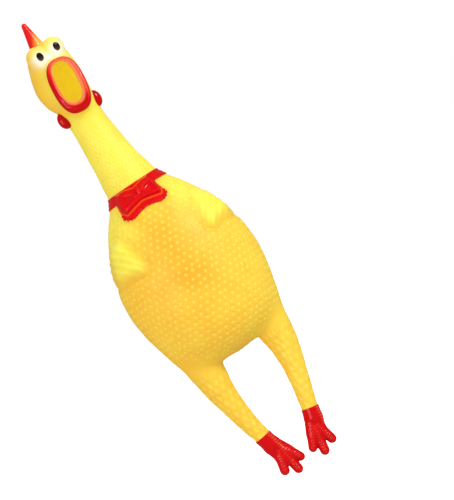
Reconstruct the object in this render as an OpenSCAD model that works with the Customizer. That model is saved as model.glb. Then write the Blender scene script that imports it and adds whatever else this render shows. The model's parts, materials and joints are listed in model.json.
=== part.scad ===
// A squeaking rubber chicken: a hollow soft skin that bends at the neck, hips and
// ankles, gives way at the belly and back, and carries a reed squeaker in its throat.
// Frame: origin at the middle of the torso, +Z towards the head, -Y is the front.

/* [Skin] */
// Wall of the torso skin
torso_wall = 2.4; // [2:0.1:3]
// Wall of the neck and head skins
thin_wall = 1.8; // [1.5:0.1:2]
// Clearance between the two sides of every bending zone
joint_gap = 0.4; // [0.3:0.05:0.5]

/* [Torso] */
// Half of the greatest width of the torso
torso_half_w = 45; // [42:0.5:48]
// Depth of the belly in front of the torso's middle plane
belly_depth = 37; // [34:0.5:38]
// Depth of the back behind the torso's middle plane
back_depth = 33; // [30:0.5:34]
// Radius of the belly and back areas that are squeezed in
squeeze_r = 25; // [23:0.5:26]
// Height of the middle of the squeezed areas
squeeze_z = -8; // [-10:1:-7]
// Distance that the wings stand out from the torso
wing_relief = 2.4; // [1.5:0.1:3]

/* [Neck] */
// Height of the lowest neck bend, just above the collar
sway_z = 68; // [67:0.5:69]
// Height of the middle neck bend
bend_z = 84; // [83.5:0.5:84.5]
// Height of the bend under the head
nod_z = 108; // [107.5:0.5:108.5]
// Ball radius of the lowest neck bend
sway_ball_r = 15; // [14.8:0.1:15.2]
// Ball radius of the middle neck bend
bend_ball_r = 11.8; // [11.6:0.1:12]
// Ball radius of the bend under the head
nod_ball_r = 9.9; // [9.8:0.1:10]

/* [Head] */
// Half of the greatest width of the head
head_half_w = 15.8; // [15:0.1:16.5]
// Height of the top of the head
head_top_z = 164; // [163:0.5:165]
// Width of the mouth opening
mouth_w = 12.4; // [12:0.2:13]
// Height of the middle of the mouth opening
mouth_z = 135.3; // [135:0.1:135.6]
// Distance of the mouth towards the chicken's left
mouth_x = 1; // [0.8:0.1:1.2]
// Degrees that the mouth leans towards the chicken's left
mouth_tilt = 7.5; // [6:0.5:8]
// Width of the rolled lip
lip_w = 3.8; // [3.4:0.1:4]
// Height of the comb's tip
comb_tip_z = 179.6; // [178:0.2:181]

/* [Squeaker] */
// Outer radius of the squeaker housing
squeaker_r = 9.2; // [9:0.1:9.4]
// Length of the squeaker housing
squeaker_len = 8; // [7.8:0.1:8.2]

/* [Legs] */
// Distance of each hip from the middle plane
hip_x = 24.5; // [24.3:0.1:24.8]
// Height of the sideways bend at the hip
hip_z = -61.5; // [-62:0.5:-61]
// Distance of each leg's fore and aft bend from the middle plane
swing_x = 23; // [22.8:0.1:23.2]
// Height of the fore and aft bend of the leg
swing_z = -74.5; // [-75:0.5:-74]
// Distance of each ankle from the middle plane
ankle_x = 16.2; // [16:0.1:16.4]
// Height of the ankle
ankle_z = -105.8; // [-106.2:0.1:-105.4]
// Ball radius of the hip
hip_ball_r = 8.4; // [8.2:0.1:8.5]
// Ball radius of the leg's fore and aft bend
swing_ball_r = 5.8; // [5.7:0.1:6]
// Ball radius of the ankle
ankle_ball_r = 4.4; // [4.3:0.1:4.5]
// Radius of a toe
toe_r = 2.8; // [2.6:0.1:2.9]

/* [Hidden] */

skin_yellow = [1, 0.82, 0.1];
paint_red = [0.9, 0.04, 0.06];
paint_white = [0.97, 0.96, 0.88];
paint_black = [0.05, 0.03, 0.03];
squeaker_white = [0.9, 0.9, 0.88];

leg_wall = 1.5;      // wall of the leg skins
touch = 0.05;       // gap between a moulded feature and the skin that it stands on
loft_sides = 24;    // sides of each ring of a lofted skin
loft_steps = 2;     // rings between two stations of a lofted skin
far = 200;          // longer than any cut needs

// Angles of the cup rims, measured from the child's own direction: the neck of a child
// fills 74 degrees of its ball, and the rim stands clear of it at the end of the travel.
bend_rim = 106;
nod_rim = 101;
hip_rim = 101;
swing_rim = 116;
ankle_rim = 111;

hip_cup_r = hip_ball_r + joint_gap;
hip_stub_r = hip_cup_r + 1.5;

// Stations of the torso: height, half width, depth in front, depth behind.
torso_stations = [
    [66.5, 16.6, 16.6, 16.6],
    [59, 20, 20, 19],
    [46, torso_half_w * 0.66, belly_depth * 0.76, back_depth * 0.72],
    [28, torso_half_w * 0.85, belly_depth * 0.93, back_depth * 0.9],
    [4, torso_half_w, belly_depth, back_depth],
    [-20, torso_half_w * 0.94, belly_depth * 0.96, back_depth * 0.98],
    [-40, torso_half_w * 0.83, belly_depth * 0.74, back_depth * 0.82],
    [-51, torso_half_w * 0.64, belly_depth * 0.44, back_depth * 0.5],
    [-55, torso_half_w * 0.36, belly_depth * 0.24, back_depth * 0.26]
];

// Stations of the head: height, half width, depth in front, depth behind.
head_stations = [
    [nod_z + 3.4, 9.3, 9.3, 9.3],
    [nod_z + 5.4, 11.2, 11.4, 10.8],
    [nod_z + 14, 12, 15.6, 12.6],
    [nod_z + 22, 14.4, 18.2, 15.6],
    [nod_z + 31, head_half_w, 19, 18.4],
    [nod_z + 40, head_half_w * 0.95, 18, 18.6],
    [nod_z + 48, head_half_w * 0.78, 15.4, 15.6],
    [head_top_z - 3, head_half_w * 0.52, 11, 10.6],
    [head_top_z, head_half_w * 0.2, 4, 4]
];

// Catmull-Rom value between p1 and p2.
function spline(p0, p1, p2, p3, t) =
    0.5 * (2 * p1 + (p2 - p0) * t + (2 * p0 - 5 * p1 + 4 * p2 - p3) * t * t
        + (3 * p1 - p0 - 3 * p2 + p3) * t * t * t);

// Stations with loft_steps rings between each pair, as one smooth run.
function smooth_run(stations) = [
    for (i = [0 : len(stations) - 2])
        for (k = [0 : loft_steps - 1])
            spline(stations[max(i - 1, 0)], stations[i], stations[i + 1],
                stations[min(i + 2, len(stations) - 1)], k / loft_steps),
    stations[len(stations) - 1]
];

// Points of one ring: front and back halves are half ellipses of different depth.
function ring(station, grow) = [
    for (j = [0 : loft_sides - 1])
        let (angle = 360 * (j + 0.5) / loft_sides,
            depth = cos(angle) > 0 ? station[2] : station[3])
            [(station[1] + grow) * sin(angle), -(depth + grow) * cos(angle), station[0]]
];

// Closed solid through the stations, its walls moved out by grow, its first ring moved
// outwards by first_grow and its last ring by last_grow.
module loft(stations, grow = 0, first_grow = 0, last_grow = 0) {
    run = smooth_run(stations);
    last = len(run) - 1;
    up = run[0][0] > run[last][0] ? 1 : -1;
    rings = [
        for (i = [0 : last])
            let (lift = i == 0 ? first_grow * up : i == last ? -last_grow * up : 0)
                ring([run[i][0] + lift, run[i][1], run[i][2], run[i][3]], grow)
    ];
    n = loft_sides;
    sides = [
        for (i = [0 : last - 1])
            for (j = [0 : n - 1])
                let (a = i * n + j, b = i * n + (j + 1) % n)
                    each up > 0 ? [[a, b, b + n], [a, b + n, a + n]]
                        : [[a, b + n, b], [a, a + n, b + n]]
    ];
    top = [for (j = [0 : n - 1]) up > 0 ? n - 1 - j : j];
    bottom = [for (j = [0 : n - 1]) last * n + (up > 0 ? j : n - 1 - j)];
    polyhedron([for (r = rings) each r], concat(sides, [top, bottom]));
}

module torso_solid(grow = 0) {
    loft(torso_stations, grow, max(-grow, 0), grow);
}

module head_solid(grow = 0) {
    loft([for (i = [len(head_stations) - 1 : -1 : 0]) head_stations[i]], grow, grow, max(-grow, 0));
}

// Half disc profile for a ball about the Z axis.
module half_disc(r) {
    intersection() {
        circle(r, $fn = 96);
        translate([0, -r]) square([r, 2 * r]);
    }
}

module ball(r) {
    rotate_extrude($fn = 96) half_disc(r);
}

/* ---- torso ---- */

module squeeze_cylinder(r, toward) {
    translate([0, 0, squeeze_z]) rotate([toward * 90, 0, 0]) cylinder(r = r, h = far, $fn = 96);
}

// Short leg stub of the torso: a tube whose lower end is the cup of the hip ball.
module leg_stub_solid() {
    translate([hip_x, 0, hip_z - hip_cup_r * cos(hip_rim)]) cylinder(r = hip_stub_r, h = 16, $fn = 96);
}

module torso_skin() {
    color(skin_yellow) difference() {
        union() {
            torso_solid();
            for (side = [0, 1]) mirror([side, 0, 0]) leg_stub_solid();
        }
        torso_solid(-torso_wall);
        for (side = [0, 1]) mirror([side, 0, 0]) {
            translate([hip_x, 0, hip_z]) ball(hip_cup_r);
            translate([hip_x, 0, hip_z]) cylinder(r = hip_cup_r - 0.6, h = 17, $fn = 96);
        }
        squeeze_cylinder(squeeze_r + joint_gap, 1);
        squeeze_cylinder(squeeze_r + joint_gap, -1);
        translate([0, 0, sway_z]) ball(sway_ball_r + joint_gap);
    }
}

module belly_skin() {
    color(skin_yellow) intersection() {
        difference() {
            torso_solid();
            torso_solid(-torso_wall);
        }
        squeeze_cylinder(squeeze_r, 1);
    }
}

module back_skin() {
    color(skin_yellow) intersection() {
        difference() {
            torso_solid();
            torso_solid(-torso_wall);
        }
        squeeze_cylinder(squeeze_r, -1);
    }
}

collar_h = 4;
collar_relief = 1.2;
collar_bottom_z = 58.8;

module collar_band() {
    color(paint_red) difference() {
        intersection() {
            torso_solid(collar_relief);
            translate([0, 0, collar_bottom_z]) cylinder(r = 30, h = collar_h);
        }
        torso_solid(touch);
    }
}

knot_w = 6.4;
knot_h = 9;
bow_z = 54;
knot_y = -24;
lobe_span = 15;

module bow_knot() {
    half_run = (knot_h - knot_w) / 2;
    color(paint_red) difference() {
        translate([0, knot_y, bow_z + 0.5]) union() {
            translate([0, 0, -half_run]) cylinder(r = knot_w / 2, h = 2 * half_run, $fn = 64);
            for (end = [-1, 1]) translate([0, 0, end * half_run]) ball(knot_w / 2);
        }
        torso_solid(touch);
    }
}

// One lobe of the bow, on the +X side.
module bow_lobe() {
    difference() {
        hull() {
            translate([knot_w / 2 + 0.5, knot_y + 0.8, bow_z + 0.6]) sphere(r = 2.6, $fn = 24);
            translate([lobe_span - 3.6, knot_y + 4.4, bow_z + 0.9]) sphere(r = 3.6, $fn = 24);
            translate([lobe_span - 4.4, knot_y + 1.4, bow_z - 4.2]) sphere(r = 4.2, $fn = 24);
        }
        torso_solid(touch);
        translate([0, knot_y, bow_z + 0.5]) rotate([90, 0, 0])
            cylinder(r = knot_w / 2 + 1.2, h = far, center = true, $fn = 48);
    }
}

module bow_lobe_left() {
    color(paint_red) bow_lobe();
}

module bow_lobe_right() {
    color(paint_red) mirror([1, 0, 0]) bow_lobe();
}

// Front outline of a folded wing, on the +X side: shoulder, inner edge and lower edge.
wing_outline = [[24, 47], [60, 47], [60, 13.5], [29, 14.5], [23, 18], [20.5, 24], [20.8, 34], [21.6, 42]];

// One folded wing, on the +X side: a raised patch that wraps from the front to the flank.
module wing() {
    difference() {
        intersection() {
            torso_solid(wing_relief);
            translate([0, 12, 0]) rotate([90, 0, 0]) linear_extrude(60) polygon(wing_outline);
        }
        torso_solid(touch);
    }
}

module wing_left() {
    color(skin_yellow) wing();
}

module wing_right() {
    color(skin_yellow) mirror([1, 0, 0]) wing();
}

tail_z = -42;

module tail_nub() {
    color(skin_yellow) difference() {
        hull() {
            translate([0, 20, tail_z]) sphere(r = 8, $fn = 32);
            translate([0, 31, tail_z - 5]) sphere(r = 4, $fn = 32);
        }
        torso_solid(touch);
    }
}

/* ---- neck ---- */

// Skin of a neck part about its lower bend: its ball below, its cup above, and the
// outline between them, listed upwards and ending at the cup's rim.
module neck_part(ball_r, outline, cup_z, cup_r) {
    rim_z = outline[len(outline) - 1][1];
    rotate_extrude($fn = 96) difference() {
        union() {
            half_disc(ball_r);
            polygon(concat([[0, -1]], outline, [[0, rim_z]]));
        }
        union() {
            half_disc(ball_r - thin_wall);
            polygon(concat([[0, -1]], [for (p = outline) [p[0] - thin_wall, p[1]]], [[0, rim_z + 1]]));
            translate([0, -ball_r - 1]) square([ball_r * 0.62, ball_r]);
            translate([0, cup_z]) circle(cup_r, $fn = 96);
        }
    }
}

module neck_lower_skin() {
    span = bend_z - sway_z;
    cup_r = bend_ball_r + joint_gap;
    outline = [[13.9, 4.2], [14.3, 8], [cup_r + 1.6, span + cup_r * cos(bend_rim)]];
    color(skin_yellow) translate([0, 0, sway_z]) neck_part(sway_ball_r, outline, span, cup_r);
}

module neck_upper_skin() {
    span = nod_z - bend_z;
    cup_r = nod_ball_r + joint_gap;
    outline = [[10.6, 4.2], [12.2, 7], [11.9, 15], [cup_r + 1.3, span + cup_r * cos(nod_rim)]];
    color(skin_yellow) translate([0, 0, bend_z]) neck_part(bend_ball_r, outline, span, cup_r);
}

/* ---- squeaker ---- */

squeaker_z = bend_z + 5.7;
squeaker_wall = 1.4;
seat_h = 1.6;
seat_r = squeaker_r - squeaker_wall - touch;
seat_z = squeaker_z + 4.4;
slot_w = 2.6;
slot_len = 8;
reed_w = 3.8;
reed_t = 0.4;
reed_len = 9;
reed_root_y = 4.4;

module squeaker_housing() {
    color(squeaker_white) translate([0, 0, squeaker_z]) difference() {
        cylinder(r = squeaker_r, h = squeaker_len, $fn = 96);
        translate([0, 0, -1]) cylinder(r = squeaker_r - squeaker_wall, h = squeaker_len + 2, $fn = 96);
    }
}

module squeaker_cap() {
    color(squeaker_white) translate([0, 0, squeaker_z + squeaker_len + touch]) difference() {
        cylinder(r = squeaker_r, h = 1.2, $fn = 96);
        translate([0, 0, -1]) cylinder(r = 2.5, h = 4, $fn = 48);
    }
}

module reed_seat() {
    color(squeaker_white) translate([0, 0, seat_z]) difference() {
        cylinder(r = seat_r, h = seat_h, $fn = 96);
        translate([-slot_w / 2, reed_root_y - 2 - slot_len, -1]) cube([slot_w, slot_len, seat_h + 2]);
    }
}

module reed_clamp() {
    color(squeaker_white) translate([-reed_w / 2, reed_root_y, seat_z - 1.6 - touch])
        cube([reed_w, 2, 1.6]);
}

module reed_tongue() {
    color("silver") translate([-reed_w / 2, reed_root_y - joint_gap - reed_len, seat_z - 1.3])
        cube([reed_w, reed_len, reed_t]);
}

/* ---- head ---- */

// Egg outline of the mouth in the XZ plane. Its walls move out by grow, and more at its foot than at its top.
module mouth_egg(grow) {
    upper_r = mouth_w / 2;
    lower_r = mouth_w * 0.45;
    translate([mouth_x, mouth_z]) rotate(-mouth_tilt) hull() {
        translate([0, 6.7 - grow * 0.4]) circle(upper_r + grow, $fn = 48);
        translate([0, -7.3 - grow * 0.6]) circle(lower_r + grow, $fn = 48);
    }
}

module mouth_prism(grow, depth) {
    translate([0, -12, 0]) rotate([90, 0, 0]) linear_extrude(depth) mouth_egg(grow);
}

module head_skin() {
    color(skin_yellow) difference() {
        union() {
            head_solid();
            translate([0, 0, nod_z]) ball(nod_ball_r);
        }
        difference() {
            head_solid(-thin_wall);
            translate([0, 0, nod_z]) cube([40, 40, 8], center = true);
        }
        translate([0, 0, nod_z]) ball(nod_ball_r - thin_wall);
        translate([0, 0, nod_z - nod_ball_r - 1]) cylinder(r = nod_ball_r * 0.8, h = nod_ball_r + 1, $fn = 64);
        translate([0, 0, nod_z]) cylinder(r = 6, h = 7, $fn = 64);
        mouth_prism(0.1, 30);
    }
}

// Its child without the part that the lip takes.
module clear_of_lip() {
    difference() {
        children();
        mouth_prism(lip_w + touch, 30);
    }
}

lip_front_y = -24.5;

module lip_ring() {
    color(paint_red) difference() {
        intersection() {
            mouth_prism(lip_w, -lip_front_y - 12);
            head_solid(5);
        }
        mouth_prism(0.1, 30);
        head_solid(touch);
    }
}

comb_lobes = [[-1, 0], [4.5, -4], [10, -9]];  // place along Y and drop of each lobe's tip
comb_base_r = 4.1;

module comb() {
    color(paint_red) difference() {
        union() {
            for (lobe = comb_lobes)
                hull() {
                    translate([0, lobe[0], comb_tip_z - 1.4 + lobe[1]]) sphere(r = 1.4, $fn = 20);
                    translate([0, lobe[0] + 1, head_top_z - 2.5]) sphere(r = comb_base_r, $fn = 24);
                }
        }
        head_solid(touch);
    }
}

eye_r = 6.4;
eye_x = 6.6;
eye_y = -11.5;
eye_z = 157.2;

module eye() {
    difference() {
        translate([eye_x, eye_y, eye_z]) ball(eye_r);
        head_solid(touch);
        translate([-far / 2 + touch, -far / 2, 0]) cube([far / 2, far, far]);
    }
}

pupil_w = 3.7;
pupil_h = 5.5;

module pupil() {
    difference() {
        intersection() {
            translate([eye_x, eye_y, eye_z]) ball(eye_r + 0.5);
            translate([eye_x - 0.8, eye_y, eye_z]) rotate([90, 0, 0]) linear_extrude(40) hull() {
                for (end = [-1, 1]) translate([0, end * (pupil_h - pupil_w) / 2]) circle(pupil_w / 2, $fn = 40);
            }
        }
        translate([eye_x, eye_y, eye_z]) ball(eye_r + touch);
    }
}

module eye_left() {
    color(paint_white) clear_of_lip() eye();
}

module eye_right() {
    color(paint_white) clear_of_lip() mirror([1, 0, 0]) eye();
}

module pupil_left() {
    color(paint_black) pupil();
}

module pupil_right() {
    color(paint_black) mirror([1, 0, 0]) pupil();
}

module wattle() {
    difference() {
        hull() {
            translate([11.5, -11, 121]) sphere(r = 3, $fn = 28);
            translate([13.6, -11, 117.2]) sphere(r = 3.6, $fn = 28);
        }
        head_solid(touch);
    }
}

module wattle_left() {
    color(paint_red) clear_of_lip() wattle();
}

module wattle_right() {
    color(paint_red) clear_of_lip() mirror([1, 0, 0]) wattle();
}

/* ---- legs ---- */

// Turns +Z of its children to run from one joint of the +X leg down to the next.
module along_leg(from, to) {
    translate([from[0], 0, from[1]])
        rotate([0, atan2(from[0] - to[0], from[1] - to[1]), 0])
            children();
}

function leg_run(from, to) = norm(to - from);

hip_at = [hip_x, hip_z];
swing_at = [swing_x, swing_z];
ankle_at = [ankle_x, ankle_z];

// One hollow leg part about its own axis: a ball at the origin, the outline down to the
// rim of a cup, and that cup. The outline is listed downwards.
module leg_part(ball_r, outline, cup_z, cup_r) {
    rim_z = outline[len(outline) - 1][1];
    difference() {
        union() {
            ball(ball_r);
            rotate_extrude($fn = 96) polygon(concat([[0, 1]], outline, [[0, rim_z]]));
        }
        union() {
            ball(ball_r - leg_wall);
            rotate_extrude($fn = 96)
                polygon(concat([[0, 1]], [for (p = outline) [p[0] - leg_wall, p[1]]], [[0, rim_z - 1]]));
            translate([0, 0, cup_z]) ball(cup_r);
            translate([0, 0, 1]) cylinder(r = ball_r * 0.5, h = ball_r, $fn = 64);
        }
    }
}

// The thigh, on the +X side: the hip ball above and the swing cup below.
module thigh() {
    run = leg_run(hip_at, swing_at);
    cup_r = swing_ball_r + joint_gap;
    outline = [[7.3, -3.4], [8.6, -5.6], [cup_r + 1.3, -run - cup_r * cos(swing_rim)]];
    along_leg(hip_at, swing_at) leg_part(hip_ball_r, outline, -run, cup_r);
}

// The shank, on the +X side: the swing ball above and the ankle cup below.
module shank() {
    run = leg_run(swing_at, ankle_at);
    cup_r = ankle_ball_r + joint_gap;
    outline = [[4.9, -2.6], [6.8, -5], [6.3, -20], [cup_r + 0.9, -run - cup_r * cos(ankle_rim)]];
    along_leg(swing_at, ankle_at) leg_part(swing_ball_r, outline, -run, cup_r);
}

foot_lean = 13;
toe_len = 13;
toe_angles = [-24, 0, 20];

// The foot about the leg's own axis, pointing down -Z from the ankle.
module foot() {
    translate([ankle_x, 0, ankle_z]) rotate([0, foot_lean, 0]) union() {
        ball(ankle_ball_r);
        rotate([90, 0, 0]) linear_extrude(7, center = true)
            polygon([[-4.2, -3], [4.2, -3], [5.8, -7], [6.6, -15], [3, -19], [-3, -19], [-6.6, -15], [-5.8, -7]]);
        for (angle = toe_angles)
            translate([sign(angle) * 3.2, 0, -14]) rotate([0, -angle * 0.75, 0]) {
                translate([0, 0, -toe_len + toe_r]) cylinder(r = toe_r, h = toe_len - toe_r, $fn = 64);
                translate([0, 0, -toe_len + toe_r]) ball(toe_r);
            }
    }
}

module thigh_left() {
    color(skin_yellow) thigh();
}

module thigh_right() {
    color(skin_yellow) mirror([1, 0, 0]) thigh();
}

module shank_left() {
    color(skin_yellow) shank();
}

module shank_right() {
    color(skin_yellow) mirror([1, 0, 0]) shank();
}

module foot_left() {
    color(paint_red) foot();
}

module foot_right() {
    color(paint_red) mirror([1, 0, 0]) foot();
}

torso_skin();
collar_band();
bow_knot();
bow_lobe_left();
bow_lobe_right();
wing_left();
wing_right();
tail_nub();
belly_skin();
back_skin();
neck_lower_skin();
neck_upper_skin();
squeaker_housing();
reed_seat();
reed_clamp();
reed_tongue();
squeaker_cap();
head_skin();
lip_ring();
comb();
eye_left();
eye_right();
pupil_left();
pupil_right();
wattle_left();
wattle_right();
thigh_left();
thigh_right();
shank_left();
shank_right();
foot_left();
foot_right();
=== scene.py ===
"""A squeaking rubber chicken in soft yellow vinyl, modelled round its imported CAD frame.

The skin is one signed distance field, meshed on a regular grid and then cut into pieces
at the bending zones. Lengths are in millimetres until a mesh is made; the frame is in metres.
+X is the chicken's left, -Y its front and +Z the way to its head.
"""

import json
import math

import bpy
import numpy as np
import openvdb
from mathutils import Matrix, Vector
from mathutils.kdtree import KDTree


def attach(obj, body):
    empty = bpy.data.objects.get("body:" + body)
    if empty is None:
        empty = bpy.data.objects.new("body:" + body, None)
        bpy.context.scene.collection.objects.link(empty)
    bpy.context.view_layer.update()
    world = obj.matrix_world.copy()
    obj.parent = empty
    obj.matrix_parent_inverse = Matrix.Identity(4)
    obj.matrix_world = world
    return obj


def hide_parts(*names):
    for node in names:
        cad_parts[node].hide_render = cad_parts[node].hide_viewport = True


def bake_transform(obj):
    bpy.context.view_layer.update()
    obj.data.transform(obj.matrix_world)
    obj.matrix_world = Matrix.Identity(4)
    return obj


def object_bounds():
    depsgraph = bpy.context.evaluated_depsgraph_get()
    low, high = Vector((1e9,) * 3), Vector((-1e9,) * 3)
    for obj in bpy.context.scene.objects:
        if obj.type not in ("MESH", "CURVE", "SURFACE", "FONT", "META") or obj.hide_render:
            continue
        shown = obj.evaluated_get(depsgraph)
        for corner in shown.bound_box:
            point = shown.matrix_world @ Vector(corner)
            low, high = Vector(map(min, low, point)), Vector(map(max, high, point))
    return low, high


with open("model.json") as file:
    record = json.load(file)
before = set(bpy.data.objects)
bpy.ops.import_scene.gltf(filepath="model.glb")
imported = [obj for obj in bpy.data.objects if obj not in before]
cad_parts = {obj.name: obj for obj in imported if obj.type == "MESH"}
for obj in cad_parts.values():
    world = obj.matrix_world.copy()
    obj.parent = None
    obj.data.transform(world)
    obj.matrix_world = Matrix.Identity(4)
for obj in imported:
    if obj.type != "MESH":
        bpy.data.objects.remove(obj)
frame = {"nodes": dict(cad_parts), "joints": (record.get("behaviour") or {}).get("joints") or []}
cad_low, cad_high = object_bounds()

MM = 0.001
SKIN_STEP = 0.45      # grid step of the skin
DETAIL_STEP = 0.25    # grid step of the small painted pieces
PUPIL_STEP = 0.6 * DETAIL_STEP          # grid step of the pupils
RELAX_ROUNDS = 2                        # how often a new surface is smoothed
rng = np.random.default_rng(7)

PIVOT = {j["name"]: np.array(j["pos_m"]) / MM for j in frame["joints"] if "pos_m" in j}
NECK_ZONE = 7.0        # half the height of each bending zone of the neck
HIP_ZONE = 5.0         # half the height of the sideways bending zone of a leg
SWING_ZONE = 6.0       # half the height of the fore and aft bending zone of a leg
ANKLE_ZONE = 5.0       # half the height of the bending zone of an ankle


# ---------------------------------------------------------------- distance fields

def curve(stations, column, z):
    """Smooth value at heights z through (height, value, ...) stations, with no overshoot."""
    table = sorted(stations)
    at = np.array([row[0] for row in table], float)
    value = np.array([row[column] for row in table], float)
    run = np.diff(at)
    slope = np.diff(value) / run
    tangent = np.zeros(len(at))
    same = slope[:-1] * slope[1:] > 0
    tangent[1:-1][same] = (2 * slope[:-1] * slope[1:] / (slope[:-1] + slope[1:] + 1e-12))[same]
    tangent[0], tangent[-1] = slope[0], slope[-1]
    z = np.clip(z, at[0], at[-1])
    i = np.clip(np.searchsorted(at, z, side="right") - 1, 0, len(run) - 1)
    t = (z - at[i]) / run[i]
    return (
        value[i] * (1 + 2 * t) * (1 - t) ** 2
        + tangent[i] * run[i] * t * (1 - t) ** 2
        + value[i + 1] * t * t * (3 - 2 * t)
        - tangent[i + 1] * run[i] * t * t * (1 - t)
    )


def smooth_union(a, b, k):
    """a and b together, the corner between them filled over k."""
    h = np.maximum(k - np.abs(a - b), 0) / k
    return np.minimum(a, b) - h * h * k / 4


def smooth_meet(a, b, k):
    """What a and b have in common, its edge rounded over k."""
    return -smooth_union(-a, -b, k)


def smoothstep(low, high, value):
    """0 at low, 1 at high, with a smooth ramp between them; low may be the larger."""
    t = np.clip((value - low) / (high - low), 0, 1)
    return t * t * (3 - 2 * t)


def loft(stations, x, y, z, grow=0.0):
    """Upright loft through (height, half width, depth in front, depth behind) stations."""
    half = np.maximum(curve(stations, 1, z) + grow, 0.05)
    depth = np.where(y < 0, curve(stations, 2, z), curve(stations, 3, z)) + grow
    depth = np.maximum(depth, 0.05)
    share = np.sqrt((x / half) ** 2 + (y / depth) ** 2)
    heights = [row[0] for row in stations]
    d = (share - 1) * np.minimum(half, depth)
    return np.maximum(d, np.maximum(min(heights) - grow - z, z - max(heights) - grow))


def ellipsoid(x, y, z, centre, radii):
    """Distance to an ellipsoid with upright axes, close to true near its surface."""
    p = [(c - o) / r for c, o, r in zip((x, y, z), centre, radii)]
    q = [a / r for a, r in zip(p, radii)]
    inner = np.sqrt(p[0] ** 2 + p[1] ** 2 + p[2] ** 2)
    outer = np.sqrt(q[0] ** 2 + q[1] ** 2 + q[2] ** 2)
    return inner * (inner - 1) / np.maximum(outer, 1e-6)


def cone(x, y, z, start, end, start_r, end_r, flat=1.0):
    """Round cone from start to end; flat scales its depth along Y."""
    run = [e - s for s, e in zip(start, end)]
    p = [c - s for c, s in zip((x, y, z), start)]
    length2 = sum(r * r for r in run)
    t = np.clip(sum(a * r for a, r in zip(p, run)) / length2, 0, 1)
    off = [a - t * r for a, r in zip(p, run)]
    d = np.sqrt(off[0] ** 2 + (off[1] / flat) ** 2 + off[2] ** 2)
    return d - (start_r + (end_r - start_r) * t)


def egg(x, z, half, low, widest, high, blunt=2.6):
    """Distance in the XZ plane to an upright blunt egg from low to high, widest at the height widest."""
    tall = np.where(z > widest, high - widest, widest - low)
    u, v = np.abs(x) / half, np.abs(z - widest) / tall
    share = np.maximum((u ** blunt + v ** blunt) ** (1 / blunt), 1e-3)
    slope = np.hypot((u / share) ** (blunt - 1) / half, (v / share) ** (blunt - 1) / tall)
    return (share - 1) / np.maximum(slope, 0.02)


def polygon(x, z, corners):
    """Distance in the XZ plane to a closed polygon, negative inside."""
    x, z = np.broadcast_arrays(x, z)
    best = np.full(x.shape, 1e9)
    inside = np.zeros(x.shape, bool)
    for (ax, az), (bx, bz) in zip(corners, corners[1:] + corners[:1]):
        ex, ez = bx - ax, bz - az
        t = np.clip(((x - ax) * ex + (z - az) * ez) / (ex * ex + ez * ez), 0, 1)
        best = np.minimum(best, (x - ax - t * ex) ** 2 + (z - az - t * ez) ** 2)
        if ez != 0:
            inside ^= ((az > z) != (bz > z)) & (x < ax + (z - az) * ex / ez)
    return np.where(inside, -1, 1) * np.sqrt(best)


# ---------------------------------------------------------------- the chicken's forms

BODY = [  # height, half width, depth in front, depth behind
    (164.4, 1.5, 2.0, 2.0), (163, 6.6, 8.2, 8.4), (160, 9.8, 12.8, 12.8), (155, 12.3, 16.2, 16.6),
    (147, 14.3, 18.2, 18.8), (138.3, 15.0, 19.0, 18.2), (129.4, 13.9, 18.0, 15.4), (122.5, 12.1, 15.4, 12.6),
    (116, 11.3, 12.8, 11.2), (110, 11.2, 11.6, 11.0), (101, 11.8, 11.8, 11.8), (90, 12.9, 12.9, 12.9),
    (80, 14.0, 14.0, 14.0), (72, 15.6, 15.6, 15.6), (65, 16.8, 16.8, 16.8), (59, 20.0, 19.6, 18.6),
    (51, 26.0, 24.2, 22.4), (42, 31.8, 28.8, 26.2), (33, 36.1, 32.4, 29.2), (20, 40.9, 35.4, 31.8),
    (8, 43.6, 36.8, 33.0), (-2, 44.2, 37.0, 33.2), (-12, 43.5, 36.8, 33.0), (-24, 41.2, 34.4, 31.6),
    (-36, 37.4, 29.3, 28.2), (-44, 31.5, 22.5, 22.8), (-49, 23.5, 14.5, 15.5), (-51.6, 14.0, 8.0, 9.0),
    (-52.8, 3.0, 2.0, 2.0),
]
LEG = [  # height, distance from the middle plane, radius
    (-36, 22.3, 12.4), (-46, 23.4, 11.8), (-54, 23.8, 10.6), (-63, 23.8, 9.2), (-74, 22.7, 7.7),
    (-85, 20.8, 6.5), (-95, 18.7, 5.8), (-104, 16.4, 5.2), (-108, 15.5, 5.0),
]
SWAY = [  # height, how far the middle of trunk and head stands towards the chicken's left
    (164, 0.4), (152, 0.0), (146, -0.8), (138, -1.6), (130, -1.5), (124, -0.3), (118, 0.0), (100, 0.1),
    (84, 0.3), (70, 0.9), (60, 1.3), (48, 0.9), (36, 0.6), (18, 0.5), (0, 0.2), (-20, 0.0),
]
WALL = 1.8                          # thickness of the casting
THROAT_LOW = 99.2                   # height at which the open throat ends
INSIDE_LOW = 97.0                   # height above which the skin has an inside
FLOOR_LOW = 112.0                   # height above which the inside shows through the mouth
MOUTH_X = 0.9
MOUTH_TILT = math.radians(7.5)
MOUTH = dict(half=6.2, low=122.4, widest=134.6, high=148.3)
MOUTH_BACK = -8.0                   # the mouth's hole ends here
LIP_EDGE = dict(half=10.4, low=115.6, widest=134.2, high=150.6)
MUZZLE_FRONT, MUZZLE_BACK = -19.6, -6.0
EYE = dict(x=5.6, y=-10.5, z=157.5, r=6.4)
EYE_MIDDLE = 0.6                    # the pair of eyes stands this far to the chicken's left
TAIL = dict(start=(0, 20, -42), end=(0, 31, -47), start_r=8.0, end_r=4.0)
LEG_LEAN = 1.3                      # both feet hang this far to the chicken's right
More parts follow.
